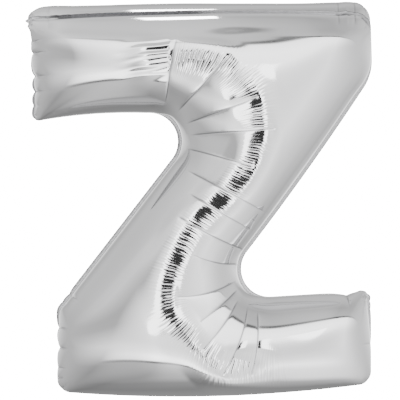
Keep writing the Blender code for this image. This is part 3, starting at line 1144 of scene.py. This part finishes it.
# %% Lean
SEAM_LEAN = math.radians(35)
LEAN_AXIS_Z = 0.2996
LEAN_HALF_HEIGHT = 0.121
SLICE = 0.010  # the bar's depth is taken at slices this far apart
LEAST_DEPTH = 0.050  # past the bar's ends too

slice_x = np.arange(-0.36, 0.37, SLICE)
near_axis = np.abs(pattern[:, 1] - LEAN_AXIS_Z) < 0.012
slice_depth = []
for x in slice_x:
    in_slice = near_axis & (np.abs(pattern[:, 0] - x) < SLICE)
    slice_depth.append(height[in_slice].mean() if in_slice.any() else 0.0)
slice_depth = averaged(np.maximum(slice_depth, LEAST_DEPTH), np.hanning(11))


def lean(points):
    """Rolls the seam along the top bar to the front, round the bar's middle line."""
    moved = points.copy()
    depth = np.interp(points[:, 0], slice_x, slice_depth)
    up = (points[:, 2] - LEAN_AXIS_Z) / LEAN_HALF_HEIGHT
    front = -points[:, 1] / depth
    radius = np.hypot(up, front)
    angle = np.arctan2(up, front)
    turned = angle - SEAM_LEAN * np.sin(angle) ** 2
    moved[:, 1] = -np.cos(turned) * radius * depth
    moved[:, 2] = LEAN_AXIS_Z + np.sin(turned) * radius * LEAN_HALF_HEIGHT
    return np.where(up[:, None] > 0, moved, points)


print("seam leans", round(math.degrees(SEAM_LEAN)), "degrees at the top edge")

# %% [markdown]
# ## Metallised film
#
# The film is plastic with a skin of metal a few hundredths of a micrometre thick, so it is a mirror with
# a faint haze. The finest cushions across the ridge are too small for the mesh, so a bump from the mesh's
# own numbers makes them. Along each crease the shade of its valley is painted into the film's colour as
# a dark line. A plain mirror without haze and grain would look like glass.

# %% Foil
CREASE_SHADE_DEPTH = 0.92  # how dark the painted shade on a crease's line gets
TICK_WAVE = 0.0058  # length of one fine cushion
TICK_HEIGHT = 0.00026
TICK_WANDER = 4.5  # how unevenly they are spaced
GRAIN_HEIGHT = 0.000008


def foil(name, tint, roughness):
    """Metallised film: a mirror with a faint grain, with shade painted dark along the creases."""
    made, finish = new_finish(name)
    place = finish.place()
    grain = finish.noise(place, 900.0, 2.0)
    painted_shade = finish.number("creased")
    turn = finish.number("run") * (math.pi / TICK_WAVE) + TICK_WANDER * finish.noise(place, 14.0, 1.0)
    ticks = turn.sine().size() * finish.number("rippled")
    relief = finish.bump(ticks * TICK_HEIGHT + grain * GRAIN_HEIGHT, 1.0, 1.0)
    dull = roughness * (0.7 + 0.6 * finish.noise(place, 18.0, 3.0)) + 0.2 * painted_shade
    # painted shade: the film's colour darkens along the creases
    colour = finish.mix(painted_shade * CREASE_SHADE_DEPTH, tint, (0.16, 0.16, 0.17))
    finish.metal(colour, dull, relief)
    return made


panel_foils = (  # slot, side, material
    ("front_foil", -1, foil("front_foil", (0.90, 0.90, 0.91), 0.07)),
    ("back_foil", 1, foil("back_foil", (0.88, 0.88, 0.89), 0.08)),
)
print("foil finishes:", [slot for slot, _, _ in panel_foils])

# %% [markdown]
# ## Panels
#
# Each panel is one sheet of the fine pattern, lifted, displaced along its normals and leaned. The back
# one is the same film turned round. The mesh carries three numbers at each point for its finish: how
# much shade is painted along the creases, how far along the letter, and how strongly it ripples.

# %% Panels
PANEL_GAP = 0.0004  # between a panel's rim and the middle of the band


def point_normals(points, faces):
    """Each point's mean normal, weighted by the size of the faces round it."""
    corners = points[faces]
    across = np.cross(corners[:, 1] - corners[:, 0], corners[:, 2] - corners[:, 0])
    normals = np.zeros_like(points)
    for column in range(3):
        np.add.at(normals, faces[:, column], across)
    return unit(normals)


def add_piece(name, points, faces, finish, numbers):
    """A smooth mesh in its finish. Its numbers are what the finish reads at each point."""
    mesh = bpy.data.meshes.new(name)
    mesh.from_pydata(points.tolist(), [], faces.tolist())
    for label, values in numbers.items():
        mesh.attributes.new(label, "FLOAT", "POINT").data.foreach_set("value", values.astype(np.float32))
    mesh.materials.append(finish)
    mesh.shade_smooth()
    return placed(name, mesh)


def add_panel(name, side, finish):
    """The inflated sheet in front, where side is -1, or behind, where it is 1."""
    flat = np.insert(gathered_pattern, 1, side * (PANEL_GAP + height), axis=1)
    faces = triangles if side < 0 else triangles[:, ::-1]
    outward = point_normals(flat, faces)
    if (outward[:, 1] * side).sum() < 0:
        faces, outward = faces[:, ::-1], -outward
    shaped = lean(flat + outward * lift[:, None])
    return add_piece(name, shaped, faces, finish, {"creased": creased, "run": run, "rippled": rippled})


for slot, side, finish in panel_foils:
    panel = add_panel(slot, side, finish)
    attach(panel, "envelope")
    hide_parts(slot + "_panel")
print("two panels of", len(triangles), "triangles")

# %% [markdown]
# ## The welded band
#
# Outside the panels the two films lie face to face, pressed together by a hot tool. What is left of
# them is a narrow ribbon, a little duller than the rest, with the tool's fine marks across it. Gas
# makes it stand in small waves, and it curls to the back. A strip could be swept along the weld, but it
# would stand off the film at every gather. So the ribbon is a closed sheet of two faces, made from rows
# that follow the same gathers and the same lean as the panels. Along the top it lies in the crevice
# between both panels, and the crevice's shade is painted dark into its colour there.

# %% Seam band
BAND_HALF = 0.00025  # half of the two films' thickness
BAND_INSIDE = 0.0015  # the ribbon starts this far inside the weld
BAND_ROWS = (0.0, 0.17, 0.30, 0.45, 0.60, 0.75, 0.88, 1.0)
BAND_WAVE = 0.00035  # height of its waves at the cut edge
BAND_WAVE_LENGTH = 0.013
BAND_CURL = math.radians(42)


def band_rows(rim_line, width, along):
    """Rows of points from inside the weld to the cut edge, curled to the back and a little wavy."""
    outward = rim_line - inset(rim_line, 1)
    rows = []
    for share in BAND_ROWS:
        reach = share * (width + BAND_INSIDE) - BAND_INSIDE
        bend = BAND_CURL * np.maximum(reach, 0) / width
        out = np.where(bend > 0, np.sin(bend) / BAND_CURL * width, reach)
        back = (1 - np.cos(bend)) / BAND_CURL * width
        wave = BAND_WAVE * max(share, 0) ** 1.5
        wave = wave * (drift(rim_line, 0.018, 51) + 0.7 * np.sin(math.tau * along / BAND_WAVE_LENGTH))
        flat = gathered(rim_line + outward * out[:, None])[0]
        rows.append(np.insert(flat, 1, back + wave, axis=1))
    return np.concatenate(rows)


count = len(rim)
edge_along = edge_place[:-1]
spread = band_rows(rim, flange, edge_along)
round_rim = np.arange(count)


def strip(low, high):
    """Faces between two rows of the ribbon, each given by the number of its first point."""
    after = (round_rim + 1) % count
    return np.stack([low + round_rim, low + after, high + after, high + round_rim], axis=1)


front_faces = np.concatenate([strip(row * count, (row + 1) * count) for row in range(len(BAND_ROWS) - 1)])
back_faces = front_faces[:, ::-1] + len(spread)
last_row = len(spread) - count
inner_edge = strip(0, len(spread))[:, ::-1]
outer_edge = strip(last_row, last_row + len(spread))
band_faces = np.concatenate([front_faces, back_faces, inner_edge, outer_edge])
band_points = lean(np.concatenate([spread - (0, BAND_HALF, 0), spread + (0, BAND_HALF, 0)]))
# painted shade of the crevice along the top, less towards the right end
along_top = ease(0.30, 0.36, spread[:, 2]) * ease(-0.34, -0.30, spread[:, 0])
shadow = along_top * (1 - 0.7 * ease(-0.02, 0.05, spread[:, 0]))
band_numbers = {
    "along": np.tile(edge_along, 2 * len(BAND_ROWS)),
    "across": np.tile(np.repeat(np.array(BAND_ROWS), count), 2),
    "crevice": np.tile(shadow, 2),
}
print("ribbon of", len(band_faces), "faces,", round(1000 * FLANGE, 1), "mm wide at its narrowest")

# %% [markdown]
# ## Welded film
#
# The hot tool leaves the welded films duller than the blown ones, with fine marks across the ribbon. They
# are far too fine for the mesh, so a bump makes them from the length along the edge. The cut edge is
# darker, and along the top the crevice's shade is painted into the ribbon's colour.

# %% Pressed foil
TOOL_MARK = 0.0016  # from one mark of the hot tool to the next


def pressed_foil(name, tint, roughness):
    """Two films welded together: duller, with the tool's marks across the ribbon."""
    made, finish = new_finish(name)
    place = finish.place()
    marks = (finish.number("along") * (math.tau / TOOL_MARK)).sine()
    grain = finish.noise(place, 260.0, 3.0)
    relief = finish.bump(0.4 * marks + 0.3 * grain, 0.25, 0.0002)
    across = finish.number("across")
    edge = finish.wire("MapRange", {}, {"Value": across, "From Min": 0.80, "From Max": 0.95})
    # darker at the cut edge, with the crevice's painted shade along the top
    shade = (edge * 0.6).at_least(finish.number("crevice"))
    colour = finish.mix(shade, tint, (0.10, 0.10, 0.105))
    finish.metal(colour, roughness * (0.8 + 0.5 * grain), relief)
    return made


band_foil = pressed_foil("band_foil", (0.44, 0.44, 0.45), 0.24)
band = add_piece("seam_ribbon", band_points, band_faces, band_foil, band_numbers)
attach(band, "envelope")
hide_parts("seam_band")
print("ribbon dressed as", band_foil.name)

# %% [markdown]
# ## The filling neck
#
# Gas goes in through a short flat neck of the same two films, with a sleeve of clear film between them
# that closes by itself. After filling it is folded back behind the letter. Each film is a thin closed
# sheet with its own wrinkles, with shade painted dark along the crease that it folds on.

# %% Neck films
NECK_X = -0.020
NECK_WIDTH = 0.036
NECK_LENGTH = 0.062
NECK_START = -0.0012  # inside the crease
NECK_CORNER = 0.006
NECK_LEVEL = 0.0010  # of each film, over and under the middle
NECK_WRINKLE = 0.00045
NECK_TUCK = 0.0075  # from one small fold to the next where the neck is tied in
NECK_CREASE_SHADE = 0.0012  # width of the painted shade on the crease that it folds on
NECK_TILT = math.radians(3)
NECK_Y = 0.00305  # the crease
NECK_Z = -0.418321
SLEEVE_WIDTH = 0.020
SLEEVE_START = 0.004
SLEEVE_OUT = 0.006
SLEEVE_CORNER = 0.002
SLEEVE_WRINKLE = 0.00025
FILM_THICK = 0.0002


def neck_sheet(name, level, shape, wrinkle, seed, finish):
    """A thin wrinkled sheet at a level over the crease. Its shape is width, start, end and corner."""
    width, start, end, corner = shape
    lengths = np.linspace(start, end, 46)
    widths = np.linspace(-1, 1, 25)
    length, share = (grid.ravel() for grid in np.meshgrid(lengths, widths, indexing="ij"))
    rest = np.clip((end - length) / corner, 0, 1)
    across = share * (width / 2 - corner * (1 - np.sqrt(np.clip(1 - (1 - rest) ** 2, 0, 1))))
    spots = np.stack([across, length], axis=1)
    tied = np.sin(math.tau * across / NECK_TUCK + 2 * drift(spots, 0.04, seed + 2))
    tied *= 1 - ease(0.0, 0.022, length)
    wave = wrinkle * drift(spots, 0.030, seed) + 0.35 * wrinkle * drift(spots, 0.011, seed + 1)
    wave += 0.6 * wrinkle * tied
    wave *= ease(0.001, 0.014, length) * (1 - 0.3 * np.abs(share))
    along, over = math.cos(NECK_TILT), math.sin(NECK_TILT)
    sheets = []
    for height in (level + wave + FILM_THICK / 2, level + wave - FILM_THICK / 2):
        out = NECK_Y + length * along - height * over
        up = NECK_Z + length * over + height * along
        sheets.append(np.stack([NECK_X + across, out, up], axis=1))
    grid = np.arange(len(length)).reshape(len(lengths), len(widths))
    low, right, left, far = grid[:-1, :-1], grid[:-1, 1:], grid[1:, :-1], grid[1:, 1:]
    faces = np.stack([low, right, far, left], axis=2).reshape(-1, 4)
    edge = np.concatenate([grid[:0:-1, 0], grid[0, :-1], grid[:-1, -1], grid[-1, :0:-1]])
    after = np.roll(edge, -1)
    under = len(length)
    wall = np.stack([after, edge, edge + under, after + under], axis=1)
    every = np.concatenate([faces, faces[:, ::-1] + under, wall])
    # painted shade along the crease that the neck folds on
    crease = np.tile(bell(length, NECK_CREASE_SHADE), 2)
    return add_piece(name, np.concatenate(sheets), every, finish, {"creased": crease})


print("neck of", round(1000 * NECK_WIDTH), "by", round(1000 * NECK_LENGTH), "mm")

# %% [markdown]
# ## Hanging the neck's films
#
# Both outer films are of the same foil as the panels. The sleeve is clear film: it has no metal, so it
# shows by its gloss and its folds alone, and clouded alpha keeps it light without a ray having to bend in
# film this thin. All three take the place of the model's plain solids.

# %% Filling neck
def clear(name):
    """Clear film: nearly all light passes, its gloss and its folds show."""
    made, finish = new_finish(name)
    cloud = finish.noise(finish.place(), 120.0, 3.0)
    relief = finish.bump(cloud, 0.25, 0.0005)
    gloss = {"Base Color": (0.90, 0.92, 0.94, 1), "Roughness": 0.10 + 0.10 * cloud, "Normal": relief}
    finish.surface("BsdfPrincipled", {**gloss, "Alpha": 0.28 + 0.22 * cloud})
    return made


def hang(film, node):
    """Bakes a film's placing into its mesh and hides the plain solid that it replaces."""
    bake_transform(film)
    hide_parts(node)


neck_foil = foil("neck_foil", (0.86, 0.86, 0.88), 0.12)
neck_shape = (NECK_WIDTH, NECK_START, NECK_LENGTH, NECK_CORNER)
sleeve_shape = (SLEEVE_WIDTH, SLEEVE_START, NECK_LENGTH + SLEEVE_OUT, SLEEVE_CORNER)
lower = neck_sheet("neck_lower_film", -NECK_LEVEL, neck_shape, NECK_WRINKLE, 61, neck_foil)
upper = neck_sheet("neck_upper_film", NECK_LEVEL, neck_shape, NECK_WRINKLE, 62, neck_foil)
sleeve = neck_sheet("valve_film", 0.0, sleeve_shape, SLEEVE_WRINKLE, 63, clear("clear_film"))
hang(lower, "neck_front_film")
hang(upper, "neck_back_film")
hang(sleeve, "valve_sleeve")
print("neck films:", lower.name, upper.name, sleeve.name)
